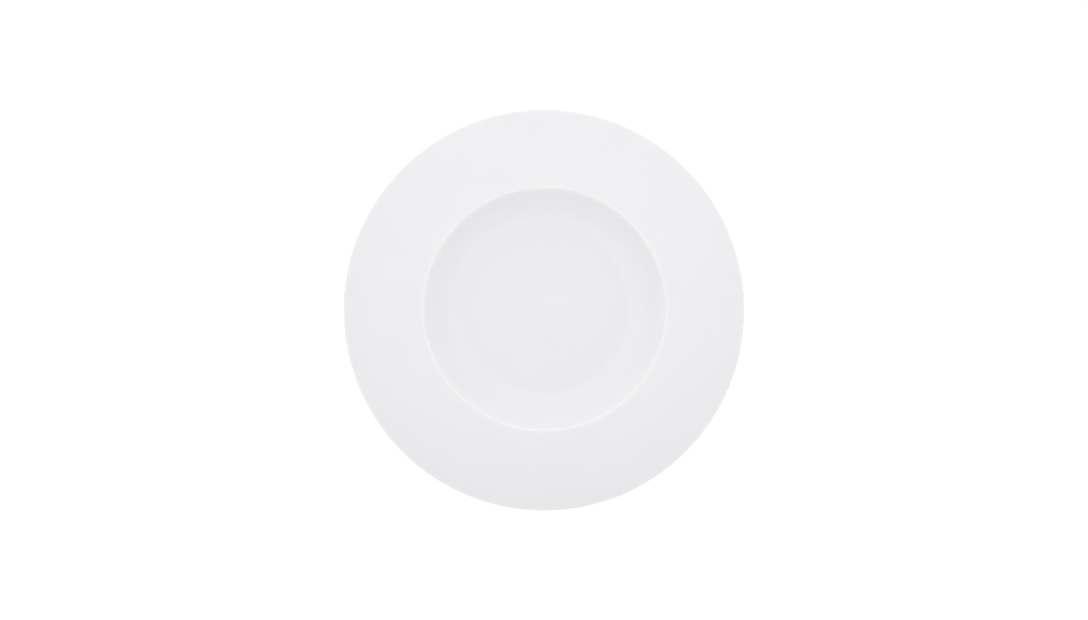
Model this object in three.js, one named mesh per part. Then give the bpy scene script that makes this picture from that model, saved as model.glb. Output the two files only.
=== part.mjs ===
// A pasta plate of glazed porcelain: a wide rim around a round, deep well, on a foot ring.
// The clay is pressed in one piece. Glaze covers all of it but the foot ring's bearing end,
// which is wiped bare, so that the glaze is two coats: one outside the foot ring, one inside.
// Sizes are millimetres, +Z is up, and the origin is on the table under the plate's centre.
import * as THREE from "three";

// The plate from above
const plateDiameter = 300; // across the glazed lip
const wellDiameter = 182; // where the planes of the rim and of the well's flank would meet

// Heights, as clay, from the table up
const footHeight = 3; // from the table to the clay inside the foot ring
const floorThickness = 4.8; // of the well's floor
const wellDepth = 25; // from the rim's inner edge down to the floor
const rimRise = 4; // of the rim, from the well's edge out to the lip

// The well's flank
const flankAngle = THREE.MathUtils.degToRad(62); // up from the level
const flankThickness = 4.4;
const wellFillet = 34; // between floor and flank
const wellEdgeFillet = 2.2; // between flank and rim

// The rim
const rimThickness = 4.6; // at the well's edge
const lipThickness = 3.2; // at the outer edge
const lipFillet = 0.8; // on the lip's upper and lower edges
const rimRootFillet = 9; // under the rim, where it leaves the flank

// The foot ring
const footDiameter = 108; // across its outer flank, where it leaves the base
const footWidth = 4.6; // at its root
const footDraft = 0.5; // by which each flank leans in towards the bearing face
const footRootFillet = 1.2;
const footTipFillet = 0.7; // on the bearing face's two edges

// The glaze
const glazeThickness = 0.25;
const bondGap = 0.02; // keeps the coat's solid clear of the clay's
const bareHeight = 1.1; // of the foot ring's end, above the table

// Facets
const turnSegments = 48; // around the plate
const broadSteps = 7; // along the profile's broad rounds
const edgeSteps = 4; // along the well's edge and the round under it, at the rim's root
const fineSteps = 2; // along the smallest rounds

const coatThickness = bondGap + glazeThickness;
const rimRadius = plateDiameter / 2 - coatThickness;
const wellRadius = wellDiameter / 2;
const footRadius = footDiameter / 2;

const floorLevel = footHeight + floorThickness;
const edgeLevel = floorLevel + wellDepth;
const lipLevel = edgeLevel + rimRise;

// A corner of the profile, at a radius and a level, rounded by an arc.
function corner(radius, level, fillet = 0, steps = fineSteps) {
  return { at: new THREE.Vector2(radius, level), fillet, steps };
}

// The point where two lines meet, each given by a point on it and its direction.
function crossing(pointA, directionA, pointB, directionB) {
  const between = pointB.clone().sub(pointA);
  const along = between.cross(directionB) / directionA.cross(directionB);
  return pointA.clone().addScaledVector(directionA, along);
}

// How far from each corner its arc begins. Two arcs that want more of an edge than its length
// are both made smaller.
function arcReaches(corners, turns) {
  const wanted = corners.map((c, i) => c.fillet * Math.tan(turns[i] / 2));
  const shares = corners.map(() => 1);
  for (let i = 0; i + 1 < corners.length; i++) {
    const length = corners[i].at.distanceTo(corners[i + 1].at);
    const share = length / (wanted[i] + wanted[i + 1]);
    shares[i] = Math.min(shares[i], share);
    shares[i + 1] = Math.min(shares[i + 1], share);
  }
  return wanted.map((reach, i) => reach * shares[i]);
}

// The points of a line through the corners, with an arc of the corner's fillet at each.
function roundedLine(corners) {
  const ways = corners.slice(1).map((c, i) => c.at.clone().sub(corners[i].at).normalize());
  const turns = corners.map((c, i) =>
    i > 0 && i < ways.length ? Math.acos(THREE.MathUtils.clamp(ways[i - 1].dot(ways[i]), -1, 1)) : 0,
  );
  const reaches = arcReaches(corners, turns);
  return corners.flatMap((c, i) => {
    if (reaches[i] === 0) return [c.at];
    const radius = reaches[i] / Math.tan(turns[i] / 2);
    const side = Math.sign(ways[i - 1].cross(ways[i]));
    const start = c.at.clone().addScaledVector(ways[i - 1], -reaches[i]);
    const towardsCentre = new THREE.Vector2(-ways[i - 1].y, ways[i - 1].x).multiplyScalar(side * radius);
    const centre = start.clone().add(towardsCentre);
    return Array.from({ length: c.steps + 1 }, (_, k) =>
      start.clone().rotateAround(centre, (side * turns[i] * k) / c.steps),
    );
  });
}

// A line moved to its right, square to itself, by the same distance everywhere.
function movedLine(points, distance) {
  const rights = points.slice(1).map((p, i) => {
    const way = p.clone().sub(points[i]).normalize();
    return new THREE.Vector2(way.y, -way.x);
  });
  return points.map((p, i) => {
    const before = rights[Math.max(i - 1, 0)];
    const after = rights[Math.min(i, rights.length - 1)];
    const mitre = before.clone().add(after).divideScalar(1 + before.dot(after));
    return p.clone().addScaledVector(mitre, distance);
  });
}

// The profile turned round the plate's axis. It runs with the solid on its left.
function turned(name, profile, material) {
  const geometry = new THREE.LatheGeometry(profile, turnSegments).rotateX(Math.PI / 2);
  const mesh = new THREE.Mesh(geometry, material);
  mesh.name = name;
  return mesh;
}

// The foot ring's flanks lean in as they go down, and the glaze stops on each at bareHeight.
const footInnerRadius = footRadius - footWidth;
const leanAtBareLine = footDraft * (1 - bareHeight / footHeight);
const innerBareLine = corner(footInnerRadius + leanAtBareLine, bareHeight);
const outerBareLine = corner(footRadius - leanAtBareLine, bareHeight);

// The underside follows the well: its flank lies flankThickness behind the well's flank, and the
// underside of the rim runs from the lip to that flank.
const flankWay = new THREE.Vector2(Math.cos(flankAngle), Math.sin(flankAngle));
const wellEdge = new THREE.Vector2(wellRadius, edgeLevel);
const outerFlankPoint = wellEdge.clone().add(
  new THREE.Vector2(flankWay.y, -flankWay.x).multiplyScalar(flankThickness),
);
const lipUnderside = new THREE.Vector2(rimRadius, lipLevel - lipThickness);
const rimUndersideWay = new THREE.Vector2(wellRadius, edgeLevel - rimThickness).sub(lipUnderside);
const level = new THREE.Vector2(1, 0);
const floorCorner = crossing(wellEdge, flankWay, new THREE.Vector2(0, floorLevel), level);
const baseCorner = crossing(outerFlankPoint, flankWay, new THREE.Vector2(0, footHeight), level);
const rimRoot = crossing(outerFlankPoint, flankWay, lipUnderside, rimUndersideWay);

// The clay's profile in three stretches, from the axis under the plate to the axis above it.
const recessLine = roundedLine([
  corner(0, footHeight),
  corner(footInnerRadius, footHeight, footRootFillet),
  innerBareLine,
]);
const footLine = roundedLine([
  innerBareLine,
  corner(footInnerRadius + footDraft, 0, footTipFillet),
  corner(footRadius - footDraft, 0, footTipFillet),
  outerBareLine,
]);
const coatedLine = roundedLine([
  outerBareLine,
  corner(footRadius, footHeight, footRootFillet),
  corner(baseCorner.x, baseCorner.y, wellFillet + flankThickness, broadSteps),
  corner(rimRoot.x, rimRoot.y, rimRootFillet, edgeSteps),
  corner(lipUnderside.x, lipUnderside.y, lipFillet),
  corner(rimRadius, lipLevel, lipFillet),
  corner(wellEdge.x, wellEdge.y, wellEdgeFillet, edgeSteps),
  corner(floorCorner.x, floorCorner.y, wellFillet, broadSteps),
  corner(0, floorLevel),
]);

// The section of a coat that lies on a stretch of the clay, cut open where it meets the axis.
function coatSection(line) {
  const face = movedLine(line, coatThickness);
  const back = movedLine(line, bondGap).reverse();
  return line[0].x === 0 ? [...face, ...back] : [...back, ...face];
}

const porcelain = new THREE.MeshStandardMaterial({ color: 0xe9e6e0, roughness: 0.6, metalness: 0 });
const glaze = new THREE.MeshStandardMaterial({ color: 0xf0f0f2, roughness: 0.12, metalness: 0 });

const pastaPlate = new THREE.Group();
pastaPlate.name = "pasta_plate";
pastaPlate.add(
  turned("porcelain_body", [...recessLine, ...footLine.slice(1, -1), ...coatedLine], porcelain),
  turned("glaze_coat", coatSection(coatedLine), glaze),
  turned("foot_recess_glaze", coatSection(recessLine), glaze),
);

export default pastaPlate;
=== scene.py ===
"""A pasta plate of glazed white porcelain, seen from straight above on a white table.

The plate is a body of revolution, so each piece is a section, worked out in millimetres as radius
and level, turned round the plate's axis. +Z is up, and the origin is on the table under the
plate's centre. Pieces are written to their meshes in metres.
"""

import logging
from dataclasses import dataclass, field
from enum import Enum
from math import cos, pi, radians, sin, tan
from typing import Any, Mapping, Sequence

import bpy
import numpy as np
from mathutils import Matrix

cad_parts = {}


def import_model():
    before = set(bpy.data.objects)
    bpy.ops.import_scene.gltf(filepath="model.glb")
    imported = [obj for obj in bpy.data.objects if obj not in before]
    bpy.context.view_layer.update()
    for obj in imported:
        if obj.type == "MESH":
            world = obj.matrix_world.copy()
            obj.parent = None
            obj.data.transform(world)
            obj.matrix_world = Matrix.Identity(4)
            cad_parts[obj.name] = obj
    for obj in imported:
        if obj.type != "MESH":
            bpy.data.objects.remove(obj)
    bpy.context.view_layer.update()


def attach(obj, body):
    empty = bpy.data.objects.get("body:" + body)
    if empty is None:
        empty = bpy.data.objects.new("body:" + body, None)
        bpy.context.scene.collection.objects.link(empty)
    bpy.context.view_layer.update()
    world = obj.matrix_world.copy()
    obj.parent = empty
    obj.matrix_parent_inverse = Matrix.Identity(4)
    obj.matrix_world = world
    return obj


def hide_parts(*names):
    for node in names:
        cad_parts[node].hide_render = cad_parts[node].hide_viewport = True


LOG = logging.getLogger("pasta_plate")

BODY = "root"
MM = 0.001

# Blender's wave texture runs through this many radians in one unit of its coordinates.
WAVE_RADIANS = 20.0

# A straight stretch of a section has a point about every so many millimetres, and no fewer than these.
STRAIGHT_STEP = 1.5
FEWEST_STEPS = 6

# Heights on a wall, each with its tone
Tones = tuple[tuple[float, float], ...]


class Slot(Enum):
    """Names of the two material slots."""

    BARE = "bare_porcelain"
    GLAZED = "glazed_porcelain"


class Trait(Enum):
    """Values that a piece carries at each point, for its material to read."""

    POOLING_AND_EDGE_HIGHLIGHT = "pooling_and_edge_highlight"
    UNDERSIDE = "underside"


class Fineness(Enum):
    """How closely a section is drawn: the most points on a straight, and a factor for its rounds."""

    FACE = (18, 3)
    CLAY = (8, 2)
    BACK = (6, 1)

    def __init__(self, straight: int, rounds: int) -> None:
        """Names the two values."""
        self.straight = straight
        self.rounds = rounds


def linear(code: str) -> tuple[float, float, float, float]:
    """Turns a colour written as sRGB hex into linear light.

    Args:
        code: Six hex digits after a hash sign.

    Returns:
        Red, green and blue in linear light, and an alpha of 1.
    """
    levels = np.array([int(code[i : i + 2], 16) for i in (1, 3, 5)]) / 255.0
    light = np.where(levels <= 0.04045, levels / 12.92, ((levels + 0.055) / 1.055) ** 2.4)
    return (*light.tolist(), 1.0)


def add_node(
    tree: bpy.types.NodeTree,
    kind: str,
    inputs: Mapping[str | int, Any] | None = None,
    **settings: Any,
) -> bpy.types.Node:
    """Adds a node with its settings, and gives its inputs a value or a link.

    Args:
        tree: The node tree that gets the node.
        kind: The node's type, without the words ShaderNode.
        inputs: By socket name or number, a value, or another node's output to link.
        settings: The node's own properties.

    Returns:
        The new node.
    """
    node = tree.nodes.new("ShaderNode" + kind)
    for name, value in settings.items():
        setattr(node, name, value)
    for socket, value in (inputs or {}).items():
        if isinstance(value, bpy.types.NodeSocket):
            tree.links.new(value, node.inputs[socket])
        else:
            node.inputs[socket].default_value = value
    return node


def empty_tree(owner: bpy.types.Material | bpy.types.World) -> bpy.types.NodeTree:
    """Gives a material or a world an empty node tree, and returns the tree."""
    owner.use_nodes = True
    owner.node_tree.nodes.clear()
    return owner.node_tree


def shown(name: str, data: bpy.types.ID) -> bpy.types.Object:
    """Makes an object of a mesh, a lamp or a camera, and puts it into the scene."""
    made = bpy.data.objects.new(name, data)
    bpy.context.scene.collection.objects.link(made)
    return made


@dataclass(frozen=True)
class Corner:
    """A corner of a section, in millimetres, with the round that takes its edge off."""

    radius: float
    level: float
    round: float = 0.0
    steps: int = 10


def spaced(start: np.ndarray, end: np.ndarray, most: int) -> np.ndarray:
    """Points on a straight stretch, closer together at both ends.

    The share of the way at step k is half of 1 minus the cosine of k half turns over all steps.
    Close points next to a round keep its shading off the straight.

    Args:
        start: The first end, which is one of the points.
        end: The other end, which isn't.
        most: How many points a long stretch gets. A short one gets fewer.

    Returns:
        The points, one in each row.
    """
    length = float(np.hypot(*(end - start)))
    steps = int(np.clip(round(length / STRAIGHT_STEP), min(FEWEST_STEPS, most), most))
    share = 0.5 - 0.5 * np.cos(pi * np.arange(steps) / steps)
    return start + share[:, None] * (end - start)


def rounded_line(corners: Sequence[Corner], most: int) -> np.ndarray:
    """A line through the corners, with an arc at each.

    An arc begins at its radius times the tangent of half the turn before its corner, and its centre
    lies at its radius square to the line there, on the side to which the line turns. Where two arcs
    want more of an edge than its length, both are made smaller.

    Args:
        corners: The corners in order. The first and the last have no round.
        most: How many points a long straight stretch gets.

    Returns:
        The points as radius and level, one in each row.
    """
    at = np.array([(corner.radius, corner.level) for corner in corners])
    edges = np.diff(at, axis=0)
    lengths = np.hypot(edges[:, 0], edges[:, 1])
    ways = edges / lengths[:, None]
    turns = np.zeros(len(at))
    turns[1:-1] = np.arctan2(
        ways[:-1, 0] * ways[1:, 1] - ways[:-1, 1] * ways[1:, 0],
        (ways[:-1] * ways[1:]).sum(axis=1),
    )
    reaches = np.array([corner.round for corner in corners]) * np.tan(np.abs(turns) / 2)
    shares = lengths / np.maximum(reaches[:-1] + reaches[1:], lengths)
    reaches[:-1] *= shares
    reaches[1:] *= shares
    runs = []
    leave = at[0]
    for i in range(1, len(at)):
        arrive = at[i] - reaches[i] * ways[i - 1]
        runs.append(spaced(leave, arrive, most))
        leave = at[i]
        if reaches[i] > 0.0:
            radius = reaches[i] / tan(abs(turns[i]) / 2)
            inwards = radius * np.sign(turns[i]) * np.array([-ways[i - 1][1], ways[i - 1][0]])
            angle = turns[i] * np.arange(corners[i].steps) / corners[i].steps
            spoke = np.stack(
                [
                    np.sin(angle) * inwards[1] - np.cos(angle) * inwards[0],
                    -np.sin(angle) * inwards[0] - np.cos(angle) * inwards[1],
                ],
                axis=1,
            )
            runs.append(arrive + inwards + spoke)
            leave = at[i] + reaches[i] * ways[i]
    return np.vstack([*runs, leave])


def right_of(line: np.ndarray) -> np.ndarray:
    """How far each point of a line moves when the line moves 1 to its right.

    At a point this is the sum of the right-hand normals of the edges before and after it, divided
    by 1 plus their product.

    Args:
        line: Points as radius and level, one in each row.

    Returns:
        A step for each point.
    """
    ways = np.diff(line, axis=0)
    ways /= np.hypot(ways[:, 0], ways[:, 1])[:, None]
    rights = np.stack([ways[:, 1], -ways[:, 0]], axis=1)
    before = np.vstack([rights[:1], rights])
    after = np.vstack([rights, rights[-1:]])
    return (before + after) / (1.0 + (before * after).sum(axis=1))[:, None]


def along(line: np.ndarray) -> np.ndarray:
    """The length of a line from its first point to each of its points."""
    steps = np.diff(line, axis=0)
    return np.concatenate([[0.0], np.cumsum(np.hypot(steps[:, 0], steps[:, 1]))])


def hollowness(line: np.ndarray, reach: float) -> np.ndarray:
    """How hollow a surface is around each point of its section, from -1 on an edge to 1 in a hollow.

    The line's turns to the right are added up under a bell of the given reach, and the hyperbolic
    tangent of the sum, in radians, holds it between the two limits.

    Args:
        line: Points as radius and level, with the solid on the line's left.
        reach: The bell's standard deviation, in millimetres.

    Returns:
        A value for each point.
    """
    ways = np.diff(line, axis=0)
    headings = np.unwrap(np.arctan2(ways[:, 1], ways[:, 0]))
    turns = np.concatenate([[0.0], -np.diff(headings), [0.0]])
    place = along(line)
    bell = np.exp(-0.5 * ((place[:, None] - place[None, :]) / reach) ** 2)
    return np.tanh(bell @ turns)


@dataclass(frozen=True)
class PlateSizes:
    """The plate's sizes in millimetres, as the frame has them. Heights are of the clay."""

    plate_diameter: float = 300.0
    well_diameter: float = 182.0
    foot_height: float = 3.0
    floor_thickness: float = 4.8
    well_depth: float = 25.0
    rim_rise: float = 4.0
    flank_angle: float = radians(62.0)
    flank_thickness: float = 4.4
    well_round: float = 34.0
    well_edge_round: float = 2.2
    rim_thickness: float = 4.6
    lip_thickness: float = 3.2
    lip_round: float = 0.8
    rim_root_round: float = 9.0
    foot_diameter: float = 108.0
    foot_width: float = 4.6
    foot_draft: float = 0.5
    foot_root_round: float = 1.2
    foot_tip_round: float = 0.7
    glaze_thickness: float = 0.25
    bond_gap: float = 0.02
    bare_height: float = 1.1

    @property
    def coat(self) -> float:
        """From the clay to the glazed surface."""
        return self.bond_gap + self.glaze_thickness

    @property
    def rim_radius(self) -> float:
        """Of the clay's lip."""
        return self.plate_diameter / 2 - self.coat

    @property
    def well_radius(self) -> float:
        """Where the planes of the rim and of the well's flank would meet."""
        return self.well_diameter / 2

    @property
    def foot_radius(self) -> float:
        """Of the foot ring's outer flank at its root."""
        return self.foot_diameter / 2

    @property
    def foot_inner_radius(self) -> float:
        """Of the foot ring's inner flank at its root."""
        return self.foot_radius - self.foot_width

    @property
    def floor_level(self) -> float:
        """Of the well's floor."""
        return self.foot_height + self.floor_thickness

    @property
    def edge_level(self) -> float:
        """Of the well's edge."""
        return self.floor_level + self.well_depth

    @property
    def lip_level(self) -> float:
        """Of the lip's upper face."""
        return self.edge_level + self.rim_rise

    @property
    def lip_under_level(self) -> float:
        """Of the lip's lower face."""
        return self.lip_level - self.lip_thickness

    def flank_radius(self, level: float, behind: float = 0.0) -> float:
        """The radius of the well's flank at a level, or of the face that lies behind it."""
        run = (level - self.edge_level) / tan(self.flank_angle)
        return self.well_radius + run + behind / sin(self.flank_angle)

    def bare_line(self, outer: bool) -> Corner:
        """Where the glaze stops on the foot ring's outer or inner flank."""
        lean = self.foot_draft * (1.0 - self.bare_height / self.foot_height)
        radius = self.foot_radius - lean if outer else self.foot_inner_radius + lean
        return Corner(radius, self.bare_height)

    def rim_root(self) -> tuple[float, float]:
        """Radius and level at which the rim's underside meets the outer flank."""
        rise = self.lip_under_level - (self.edge_level - self.rim_thickness)
        slope = rise / (self.rim_radius - self.well_radius)
        steep = tan(self.flank_angle)
        base = self.flank_radius(0.0, self.flank_thickness)
        radius = (self.lip_under_level - slope * self.rim_radius + steep * base) / (steep - slope)
        return radius, steep * (radius - base)

    def recess_line(self, fineness: Fineness) -> np.ndarray:
        """The clay inside the foot ring, from the axis to the inner bare line."""
        centre = Corner(0.0, self.foot_height)
        root = Corner(self.foot_inner_radius, self.foot_height, self.foot_root_round)
        return rounded_line([centre, root, self.bare_line(False)], fineness.straight)

    def foot_line(self, fineness: Fineness) -> np.ndarray:
        """The foot ring's bare end, from the inner bare line to the outer one."""
        inner = Corner(self.foot_inner_radius + self.foot_draft, 0.0, self.foot_tip_round)
        outer = Corner(self.foot_radius - self.foot_draft, 0.0, self.foot_tip_round)
        corners = [self.bare_line(False), inner, outer, self.bare_line(True)]
        return rounded_line(corners, fineness.straight)

    def coated_line(self, fineness: Fineness) -> np.ndarray:
        """The clay under the large coat, from the outer bare line over the lip to the axis.

        Args:
            fineness: How closely the line is drawn.

        Returns:
            Points as radius and level, with the clay on the line's left.
        """
        fine, edge, broad = (count * fineness.rounds for count in (4, 6, 10))
        behind = self.flank_thickness
        base_radius = self.flank_radius(self.foot_height, behind)
        floor_radius = self.flank_radius(self.floor_level)
        return rounded_line(
            [
                self.bare_line(True),
                Corner(self.foot_radius, self.foot_height, self.foot_root_round, fine),
                Corner(base_radius, self.foot_height, self.well_round + behind, broad),
                Corner(*self.rim_root(), self.rim_root_round, edge),
                Corner(self.rim_radius, self.lip_under_level, self.lip_round, fine),
                Corner(self.rim_radius, self.lip_level, self.lip_round, fine),
                Corner(self.well_radius, self.edge_level, self.well_edge_round, edge),
                Corner(floor_radius, self.floor_level, self.well_round, broad),
                Corner(0.0, self.floor_level),
            ],
            fineness.straight,
        )


@dataclass(frozen=True)
class Firing:
    """How the kiln bends the plate, too little for the frame to show.

    Lengths are millimetres, and the turn is radians.
    """

    rim_warp: float = 0.25
    warp_turn: float = 0.7
    well_offset: tuple[float, float] = (0.5, 0.7)


@dataclass(frozen=True)
class GlazedPorcelain:
    """White porcelain under a clear feldspar glaze, fired until the glaze ran smooth.

    The eye gets a soft, cool white from the clay with a clear gloss over it. The gloss is not quite
    even, because the melt stays a little wavy. Where glaze has gathered it looks a shade bluer, and
    over edges, where it drew thin, a shade warmer and lighter. On the well's edge that lighter white
    is also a painted highlight. The roller that pressed the underside left faint rings, which the
    glaze only half fills. Widths and heights are millimetres. A pattern begins at the first of the
    two noise levels that it lies between, and is full at the second.
    """

    plain: str = "#F0F0F2"
    thin_glaze_and_painted_highlight: str = "#F3F3F3"
    gathered: str = "#EBEEF1"
    cloud: str = "#EEEEF0"
    cloud_share: float = 0.4
    cloud_width: float = 38.0
    clouds_between: tuple[float, float] = (0.35, 0.65)
    ior: float = 1.5
    glossy: float = 0.06
    duller: float = 0.11
    duller_width: float = 16.0
    duller_between: tuple[float, float] = (0.3, 0.7)
    wave_width: float = 6.0
    wave_height: float = 0.004
    ring_pitch: float = 2.8
    ring_height: float = 0.006
    ring_waver: float = 0.6
    ring_waver_scale: float = 0.4

    def colour(self, tree: bpy.types.NodeTree, place: bpy.types.NodeSocket) -> bpy.types.NodeSocket:
        """The white, by how much glaze has gathered, under clouds as wide as cloud_width."""
        pooling_and_edge_highlight = add_node(tree, "Attribute", attribute_name=Trait.POOLING_AND_EDGE_HIGHLIGHT.value).outputs["Fac"]
        depth = add_node(tree, "ValToRGB", {"Fac": pooling_and_edge_highlight})
        stops = depth.color_ramp.elements
        # Over edges the white is lighter: thin glaze, and on the well's edge also a painted highlight.
        stops[0].color, stops[1].color = linear(self.thin_glaze_and_painted_highlight), linear(self.gathered)
        stops.new(0.5).color = linear(self.plain)
        scale = 1.0 / (self.cloud_width * MM)
        clouds = add_node(tree, "TexNoise", {"Vector": place, "Scale": scale, "Detail": 2.0})
        low, high = self.clouds_between
        span = {"From Min": low, "From Max": high, "To Max": self.cloud_share}
        veil = add_node(tree, "MapRange", {"Value": clouds.outputs["Fac"], **span})
        layers = {0: veil.outputs["Result"], 6: depth.outputs["Color"], 7: linear(self.cloud)}
        return add_node(tree, "Mix", layers, data_type="RGBA").outputs[2]

    def relief(self, tree: bpy.types.NodeTree, place: bpy.types.NodeSocket) -> bpy.types.NodeSocket:
        """The normal of a surface with the melt's waves all over and the roller's rings underneath."""
        scale = 1.0 / (self.wave_width * MM)
        waves = add_node(tree, "TexNoise", {"Vector": place, "Scale": scale, "Detail": 1.0})
        pitch = 2.0 * pi / (WAVE_RADIANS * self.ring_pitch * MM)
        turned = {"Vector": place, "Scale": pitch, "Distortion": self.ring_waver}
        uneven = {"Detail": 1.0, "Detail Scale": self.ring_waver_scale}
        rings = add_node(tree, "TexWave", turned | uneven, wave_type="RINGS", rings_direction="Z")
        under = add_node(tree, "Attribute", attribute_name=Trait.UNDERSIDE.value).outputs["Fac"]
        below = add_node(tree, "Math", {0: rings.outputs["Fac"], 1: under}, operation="MULTIPLY")
        low = add_node(tree, "Math", {0: below.outputs[0], 1: self.ring_height}, operation="MULTIPLY")
        parts = {0: waves.outputs["Fac"], 1: self.wave_height, 2: low.outputs[0]}
        height = add_node(tree, "Math", parts, operation="MULTIPLY_ADD")
        return add_node(tree, "Bump", {"Height": height.outputs[0], "Distance": MM}).outputs["Normal"]

    def material(self) -> bpy.types.Material:
        """Makes the material, which reads both traits."""
        made = bpy.data.materials.new("clear_glaze_on_white_porcelain")
        tree = empty_tree(made)
        place = add_node(tree, "TexCoord").outputs["Object"]
        scale = 1.0 / (self.duller_width * MM)
        patches = add_node(tree, "TexNoise", {"Vector": place, "Scale": scale, "Detail": 2.0})
        low, high = self.duller_between
        span = {"From Min": low, "From Max": high, "To Min": self.glossy, "To Max": self.duller}
        gloss = add_node(tree, "MapRange", {"Value": patches.outputs["Fac"], **span})
        inputs = {
            "Base Color": self.colour(tree, place),
            "Roughness": gloss.outputs["Result"],
            "IOR": self.ior,
            "Normal": self.relief(tree, place),
        }
        shader = add_node(tree, "BsdfPrincipled", inputs)
        add_node(tree, "OutputMaterial", {"Surface": shader.outputs["BSDF"]})
        return made


@dataclass(frozen=True)
class BarePorcelain:
    """Fired porcelain that was wiped clean of glaze and rubbed smooth on a grinding belt.

    The eye gets a matt, warm white like an eggshell, with a fine grain and with faint grey rubs
    where the ring has slid on tables. Widths and heights are millimetres. The grain is drawn three
    times as coarse as it is, or it would not show. A pattern begins at the first of the two noise
    levels that it lies between, and is full at the second.
    """

    plain: str = "#E9E6DF"
    grain: str = "#DDD8CE"
    rubbed: str = "#C9C5BD"
    grain_width: float = 0.6
    grain_height: float = 0.02
    grain_between: tuple[float, float] = (0.4, 0.7)
    rub_width: float = 5.0
    rubs_between: tuple[float, float] = (0.5, 0.7)
    rub_share: float = 0.45
    rub_level: float = 0.12
    ior: float = 1.5
    smooth: float = 0.5
    rough: float = 0.7

    def colour(
        self, tree: bpy.types.NodeTree, place: bpy.types.NodeSocket, grain: bpy.types.NodeSocket
    ) -> bpy.types.NodeSocket:
        """The warm white with its grain, and the rubs, which end at rub_level above the table."""
        low, high = self.grain_between
        speckle = add_node(tree, "MapRange", {"Value": grain, "From Min": low, "From Max": high})
        layers = {0: speckle.outputs["Result"], 6: linear(self.plain), 7: linear(self.grain)}
        clay = add_node(tree, "Mix", layers, data_type="RGBA")
        scale = 1.0 / (self.rub_width * MM)
        rubs = add_node(tree, "TexNoise", {"Vector": place, "Scale": scale, "Detail": 4.0})
        low, high = self.rubs_between
        span = {"From Min": low, "From Max": high, "To Max": self.rub_share}
        patches = add_node(tree, "MapRange", {"Value": rubs.outputs["Fac"], **span})
        level = add_node(tree, "SeparateXYZ", {"Vector": place}).outputs["Z"]
        touching = add_node(tree, "Math", {0: level, 1: self.rub_level * MM}, operation="LESS_THAN")
        factors = {0: patches.outputs["Result"], 1: touching.outputs[0]}
        worn = add_node(tree, "Math", factors, operation="MULTIPLY")
        layers = {0: worn.outputs[0], 6: clay.outputs[2], 7: linear(self.rubbed)}
        return add_node(tree, "Mix", layers, data_type="RGBA").outputs[2]

    def material(self) -> bpy.types.Material:
        """Makes the material."""
        made = bpy.data.materials.new("ground_bare_porcelain")
        tree = empty_tree(made)
        place = add_node(tree, "TexCoord").outputs["Object"]
        scale = 1.0 / (self.grain_width * MM)
        speckles = add_node(tree, "TexNoise", {"Vector": place, "Scale": scale, "Detail": 3.0})
        grain = speckles.outputs["Fac"]
        matt = add_node(tree, "MapRange", {"Value": grain, "To Min": self.smooth, "To Max": self.rough})
        bump = add_node(tree, "Bump", {"Height": grain, "Distance": self.grain_height * MM})
        inputs = {
            "Base Color": self.colour(tree, place, grain),
            "Roughness": matt.outputs["Result"],
            "IOR": self.ior,
            "Normal": bump.outputs["Normal"],
        }
        shader = add_node(tree, "BsdfPrincipled", inputs)
        add_node(tree, "OutputMaterial", {"Surface": shader.outputs["BSDF"]})
        return made


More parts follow.
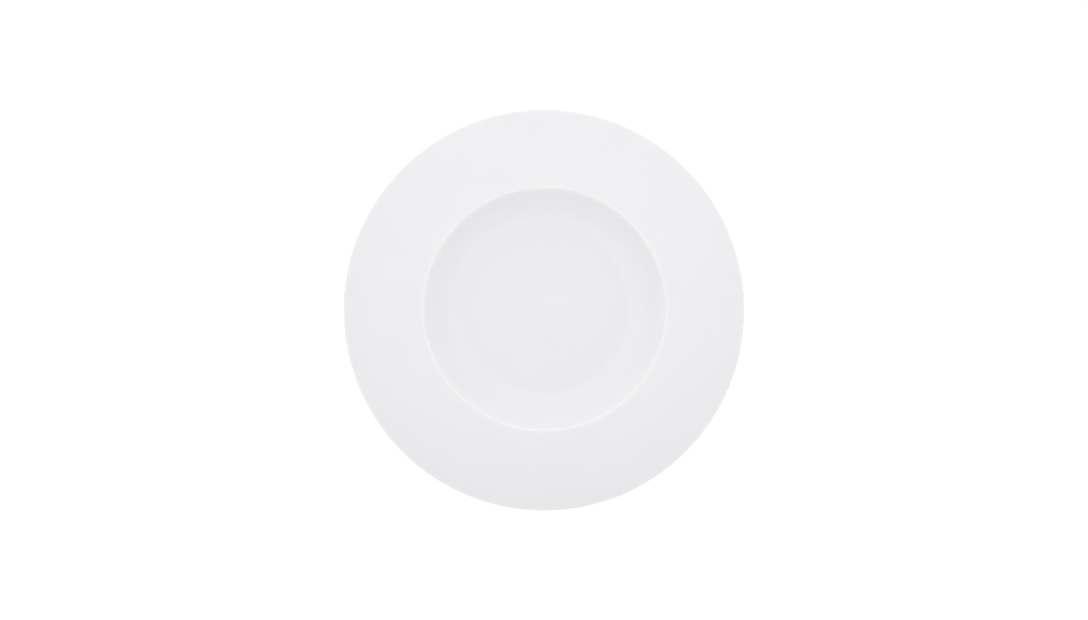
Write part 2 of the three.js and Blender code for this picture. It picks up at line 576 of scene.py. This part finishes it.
@dataclass
class TurnedPiece:
    """A closed section turned round the plate's axis, from one point of the axis to another."""

    name: str
    node: str
    slot: Slot
    sizes: PlateSizes = PlateSizes()
    firing: Firing = Firing()
    columns: int = 288
    section: np.ndarray = field(init=False, repr=False)
    sways: np.ndarray | None = field(init=False, repr=False, default=None)
    traits: dict[Trait, np.ndarray] = field(init=False, repr=False, default_factory=dict)

    def directions(self) -> np.ndarray:
        """The columns' directions round the axis."""
        return 2.0 * pi * np.arange(self.columns) / self.columns

    def grid(self) -> np.ndarray:
        """The section carried round the axis.

        A point at radius r and level z, moved by its sway, stands at r times the cosine and r times
        the sine of its column's direction. The fired rim is not quite flat: on two opposite sides it
        hangs by up to rim_warp, times half of 1 minus the cosine of warp_turn plus twice the
        direction, times the square of the share of the way from the well's edge to the lip. Nor is
        the well's edge quite in the middle of the rim: it lies off by well_offset, which comes down
        to nothing at the foot ring and at the lip, as the square of the share of the way times 3
        less twice the share.

        Returns:
            Positions in millimetres, by row, column and axis.
        """
        sizes, firing = self.sizes, self.firing
        turn = self.directions()
        points = np.repeat(self.section[:, None, :], self.columns, axis=1)
        if self.sways is not None:
            points = points + self.sways
        radius, level = points[..., 0], points[..., 1]
        outwards = (radius - sizes.well_radius) / (sizes.plate_diameter / 2 - sizes.well_radius)
        inwards = (sizes.well_radius - radius) / (sizes.well_radius - sizes.foot_radius)
        lobes = 0.5 - 0.5 * np.cos(2.0 * turn + firing.warp_turn)
        hang = firing.rim_warp * np.clip(outwards, 0.0, 1.0) ** 2 * lobes
        near = 1.0 - np.clip(np.maximum(outwards, inwards), 0.0, 1.0)
        pull = near**2 * (3.0 - 2.0 * near)
        x = radius * np.cos(turn) + firing.well_offset[0] * pull
        y = radius * np.sin(turn) + firing.well_offset[1] * pull
        return np.stack([x, y, level - hang], axis=2)

    def mesh(self) -> bpy.types.Mesh:
        """Makes the mesh: rings of quads, closed by a fan of triangles at each point of the axis.

        Returns:
            The mesh, shaded smooth, with the piece's traits.
        """
        grid = self.grid()
        vertices = np.vstack([grid[0, :1], grid[1:-1].reshape(-1, 3), grid[-1, :1]]) * MM
        ring = np.arange(self.columns)
        following = np.roll(ring, -1)
        starts = 1 + np.arange(len(grid) - 2)[:, None] * self.columns
        low, low_next = starts[:-1] + ring, starts[:-1] + following
        quads = np.stack([low, low_next, low_next + self.columns, low + self.columns], axis=2)
        first = np.stack([np.zeros_like(ring), 1 + following, 1 + ring], axis=1)
        end = np.full_like(ring, len(vertices) - 1)
        last = np.stack([end, starts[-1] + ring, starts[-1] + following], axis=1)
        mesh = bpy.data.meshes.new(self.name)
        faces = [*first.tolist(), *quads.reshape(-1, 4).tolist(), *last.tolist()]
        mesh.from_pydata(vertices.tolist(), [], faces)
        mesh.shade_smooth()
        for trait, values in self.traits.items():
            spread = np.concatenate([values[:1], np.repeat(values[1:-1], self.columns), values[-1:]])
            layer = mesh.attributes.new(trait.value, "FLOAT", "POINT")
            layer.data.foreach_set("value", spread.astype(np.float32))
        return mesh

    def build(self) -> bpy.types.Object:
        """Makes the piece's object, which rides on the plate's body in place of its node."""
        piece = shown(self.name, self.mesh())
        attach(piece, BODY)
        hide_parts(self.node)
        LOG.info("%s: %d faces in place of %s", self.name, len(piece.data.polygons), self.node)
        return piece

    def dress(self, piece: bpy.types.Object, material: bpy.types.Material) -> None:
        """Gives the piece its finish."""
        piece.data.materials.append(material)


@dataclass
class FiredClay(TurnedPiece):
    """The pressed clay. All of it but the foot ring's end lies under glaze."""

    name: str = "fired_clay"
    node: str = "porcelain_body"
    slot: Slot = Slot.BARE

    def __post_init__(self) -> None:
        """Joins the section's three stretches, the bare end of the foot ring between the others."""
        recess, foot, coated = (
            line(Fineness.CLAY)
            for line in (self.sizes.recess_line, self.sizes.foot_line, self.sizes.coated_line)
        )
        self.section = np.vstack([recess, foot[1:-1], coated])


@dataclass
class GlazeCoat(TurnedPiece):
    """A coat of glaze on a stretch of the clay, ended by a bead where the foot was wiped bare.

    Glaze melts and flows, so that it draws thin over edges and gathers in hollows, and its end
    wavers a little round the foot ring. Lengths are millimetres. Each of the waver's waves has its
    count round the ring, its share and the turn at which it starts.
    """

    thinning: float = 0.08
    pooling: float = 0.12
    flow_reach: float = 0.9
    bead_length: float = 0.32
    waver: float = 0.22
    waver_reach: float = 0.9
    waves: tuple[tuple[int, float, float], ...] = ((3, 1.0, 0.4), (7, 0.6, 1.9), (13, 0.4, 5.1))

    def shape(self, line: np.ndarray, back: np.ndarray, bead_first: bool) -> None:
        """Works out the coat's section, its sways and its traits from the clay's line.

        The face lies to the line's right by the coat's thickness, less the thinning times how sharp
        the edge is, or plus the pooling times how deep the hollow is. At the bead it comes down to
        the clay along a quarter of an ellipse. The bead and what is next to it sway along the foot
        ring's flank by a sum of sines of the direction round the axis. A point belongs to the
        underside by as much as the line's radius grows there with the line's length.

        Args:
            line: The clay's points under the face, with the clay on the line's left.
            back: The clay's points, fewer, under the coat's back.
            bead_first: Whether the lines run from the bead to the axis, or from the axis to it.
        """
        sizes = self.sizes
        hollow = hollowness(line, self.flow_reach)
        depth = sizes.coat + np.where(hollow < 0.0, self.thinning, self.pooling) * hollow
        place, back_place = along(line), along(back)
        flank = line[1] - line[0]
        if not bead_first:
            place, back_place = place[-1] - place, back_place[-1] - back_place
            flank = line[-2] - line[-1]
        ended = np.clip(1.0 - place / self.bead_length, 0.0, 1.0)
        depth = sizes.bond_gap + (depth - sizes.bond_gap) * np.sqrt(1.0 - ended**2)
        face = line + depth[:, None] * right_of(line)
        inside = back + sizes.bond_gap * right_of(back)
        hidden = np.zeros(len(back))
        # From 0 over edges, which get the lighter white of thin glaze and a painted highlight, to 1 in
        # hollows.
        gathered = 0.5 + 0.5 * hollow
        facing = np.clip(np.gradient(line[:, 0], along(line)), 0.0, 1.0)
        behind = (inside[::-1], back_place[::-1], hidden, hidden)
        front = (face, place, gathered, facing)
        first, second = (behind, front) if bead_first else (front, behind)
        self.section, lengths, pooling_and_edge_highlight, under = (
            np.concatenate([one, other[1:]]) for one, other in zip(first, second)
        )
        turn = self.directions()
        swing = sum(share * np.sin(count * turn + start) for count, share, start in self.waves)
        held = np.exp(-((lengths / self.waver_reach) ** 2))
        self.sways = 0.5 * self.waver * held[:, None, None] * swing[:, None] * flank / np.hypot(*flank)
        self.traits = {Trait.POOLING_AND_EDGE_HIGHLIGHT: pooling_and_edge_highlight, Trait.UNDERSIDE: under}


@dataclass
class LargeGlaze(GlazeCoat):
    """The coat from the foot ring's outer flank over the lip to the middle of the well."""

    name: str = "glaze_over_the_plate"
    node: str = "glaze_coat"
    slot: Slot = Slot.GLAZED

    def __post_init__(self) -> None:
        """Follows the clay from the outer bare line to the axis."""
        face, back = (self.sizes.coated_line(fineness) for fineness in (Fineness.FACE, Fineness.BACK))
        self.shape(face, back, bead_first=True)


@dataclass
class RecessGlaze(GlazeCoat):
    """The coat inside the foot ring."""

    name: str = "glaze_inside_the_foot"
    node: str = "foot_recess_glaze"
    slot: Slot = Slot.GLAZED

    def __post_init__(self) -> None:
        """Follows the clay from the axis to the inner bare line."""
        face, back = (self.sizes.recess_line(fineness) for fineness in (Fineness.FACE, Fineness.BACK))
        self.shape(face, back, bead_first=False)


@dataclass
class Studio:
    """A white table in a white room, a lamp and a camera straight above the plate.

    Lengths are metres and angles degrees. Heights on the walls are of a ray's direction, from 0 at the
    horizon to 1 straight up.
    """

    sizes: PlateSizes = PlateSizes()

    # The camera
    frame_pixels: tuple[int, int] = (1088, 620)
    plate_pixels: float = 401.2
    centre_pixels: tuple[float, float] = (543.96, 309.9)
    lens: float = 100.0
    sensor: float = 36.0

    # The table
    table_side: float = 40.0
    table_white: str = "#E8E8E8"
    table_lift: float = 0.44

    # The room
    wall_white: str = "#FFFFFF"
    wall_light: float = 1.2
    tones_lit: Tones = ((0.2, 1.0), (0.4, 0.55), (0.5, 0.55), (0.7, 0.87))
    tones_seen: Tones = ((0.11, 1.0), (0.22, 0.82))
    ceiling_starts: float = 0.855
    window_light: float = 0.298
    window_direction: float = 100.0

    # The lamp
    pool_power: float = 38.6
    pool_height: float = 2.3
    pool_offset: float = 0.088
    pool_angle: float = 17.0
    pool_softness: float = 0.12

    def seen(self, tree: bpy.types.NodeTree) -> bpy.types.NodeSocket:
        """Is 1 for what the camera sees, also in a reflection or through glass, and 0 for light."""
        path = add_node(tree, "LightPath").outputs
        either = {0: path["Is Camera Ray"], 1: path["Is Glossy Ray"]}
        two = add_node(tree, "Math", either, operation="MAXIMUM").outputs[0]
        all_three = {0: two, 1: path["Is Transmission Ray"]}
        return add_node(tree, "Math", all_three, operation="MAXIMUM").outputs[0]

    def room(self) -> None:
        """Makes the world: pale walls, brighter on one side, under a dark ceiling.

        The walls end at ceiling_starts. They light the plate least from half-way up, which keeps the
        shade of the well's flank off its floor. What is seen of them, by itself or in the glaze, is
        a white haze at the horizon and pale grey above it, or the glaze would be lost in white where
        it is seen at a low angle.
        """
        world = bpy.data.worlds.new("pale_room")
        bpy.context.scene.world = world
        tree = empty_tree(world)
        smooth = {"interpolation_type": "SMOOTHSTEP"}
        way = add_node(tree, "TexCoord").outputs["Generated"]
        height = add_node(tree, "SeparateXYZ", {"Vector": way}).outputs["Z"]
        turn = radians(self.window_direction)
        sides = {0: way, 1: (cos(turn), sin(turn), 0.0)}
        facing = add_node(tree, "VectorMath", sides, operation="DOT_PRODUCT").outputs["Value"]
        window = add_node(tree, "MapRange", {"Value": facing, "To Max": self.window_light}, **smooth)
        tones = []
        for steps in (self.tones_lit, self.tones_seen):
            ramp = add_node(tree, "ValToRGB", {"Fac": height})
            ramp.color_ramp.interpolation = "EASE"
            stops = ramp.color_ramp.elements
            for place, _ in steps[1:-1]:
                stops.new(place)
            for stop, (place, tone) in zip(stops, steps):
                stop.position = place
                stop.color = (tone, tone, tone, 1.0)
            tones.append(ramp.outputs["Color"])
        lit, pictured = tones
        lighting = {0: lit, 1: self.wall_light, 2: window.outputs["Result"]}
        light = add_node(tree, "Math", lighting, operation="MULTIPLY_ADD").outputs[0]
        either = {0: self.seen(tree), 2: light, 3: pictured}
        walls = add_node(tree, "Mix", either, data_type="FLOAT").outputs[0]
        span = {"From Min": self.ceiling_starts, "To Min": 1.0, "To Max": 0.0}
        below = add_node(tree, "MapRange", {"Value": height, **span}, **smooth).outputs["Result"]
        strength = add_node(tree, "Math", {0: walls, 1: below}, operation="MULTIPLY").outputs[0]
        glow = add_node(tree, "Background", {"Color": linear(self.wall_white), "Strength": strength})
        add_node(tree, "OutputWorld", {"Surface": glow.outputs[0]})

    def table(self) -> None:
        """Makes the table top, which is lifted to white where it is seen and keeps the shadow."""
        half = self.table_side / 2
        corners = [(-half, -half, 0.0), (half, -half, 0.0), (half, half, 0.0), (-half, half, 0.0)]
        mesh = bpy.data.meshes.new("table_top")
        mesh.from_pydata(corners, [], [(0, 1, 2, 3)])
        top = shown("table_top", mesh)
        material = bpy.data.materials.new("matt_white_table")
        tree = empty_tree(material)
        matt = add_node(tree, "BsdfDiffuse", {"Color": linear(self.table_white)})
        glow = add_node(tree, "Emission", {"Strength": self.table_lift})
        lifted = add_node(tree, "AddShader", {0: matt.outputs[0], 1: glow.outputs[0]})
        parts = {0: self.seen(tree), 1: matt.outputs[0], 2: lifted.outputs[0]}
        mixed = add_node(tree, "MixShader", parts)
        add_node(tree, "OutputMaterial", {"Surface": mixed.outputs[0]})
        mesh.materials.append(material)

    def pool(self) -> None:
        """Hangs a lamp whose round pool of light fades towards the near side of the plate."""
        light = bpy.data.lights.new("lamp_above", "SPOT")
        light.energy = self.pool_power
        light.spot_size = radians(self.pool_angle)
        light.spot_blend = 1.0
        light.shadow_soft_size = self.pool_softness
        lamp = shown("lamp_above", light)
        lamp.location = (0.0, self.pool_offset, self.pool_height)
        lamp.visible_glossy = False

    def camera(self) -> None:
        """Hangs the camera where the plate is as large, and lies where, as in the photograph."""
        data = bpy.data.cameras.new("camera_above")
        data.lens = self.lens
        data.sensor_width = self.sensor
        pixel = self.sizes.plate_diameter * MM / self.plate_pixels
        widest = (self.sizes.lip_level - self.sizes.lip_round) * MM
        distance = pixel * self.frame_pixels[0] * self.lens / self.sensor
        across = self.frame_pixels[0] / 2 - self.centre_pixels[0]
        up = self.centre_pixels[1] - self.frame_pixels[1] / 2
        camera = shown("camera_above", data)
        camera.location = (across * pixel, up * pixel, widest + distance)
        bpy.context.scene.camera = camera

    def build(self) -> None:
        """Makes all of it, and sets the plain view of colours."""
        bpy.context.scene.view_settings.view_transform = "Standard"
        self.room()
        self.table()
        self.pool()
        self.camera()


def main() -> None:
    """Builds the plate and then the studio."""
    logging.basicConfig(level=logging.INFO, format="%(message)s")
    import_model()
    glaze, bare = GlazedPorcelain().material(), BarePorcelain().material()
    for piece, finish in ((FiredClay(), bare), (LargeGlaze(), glaze), (RecessGlaze(), glaze)):
        piece.dress(piece.build(), finish)
    Studio().build()


if __name__ == "__main__":
    main()
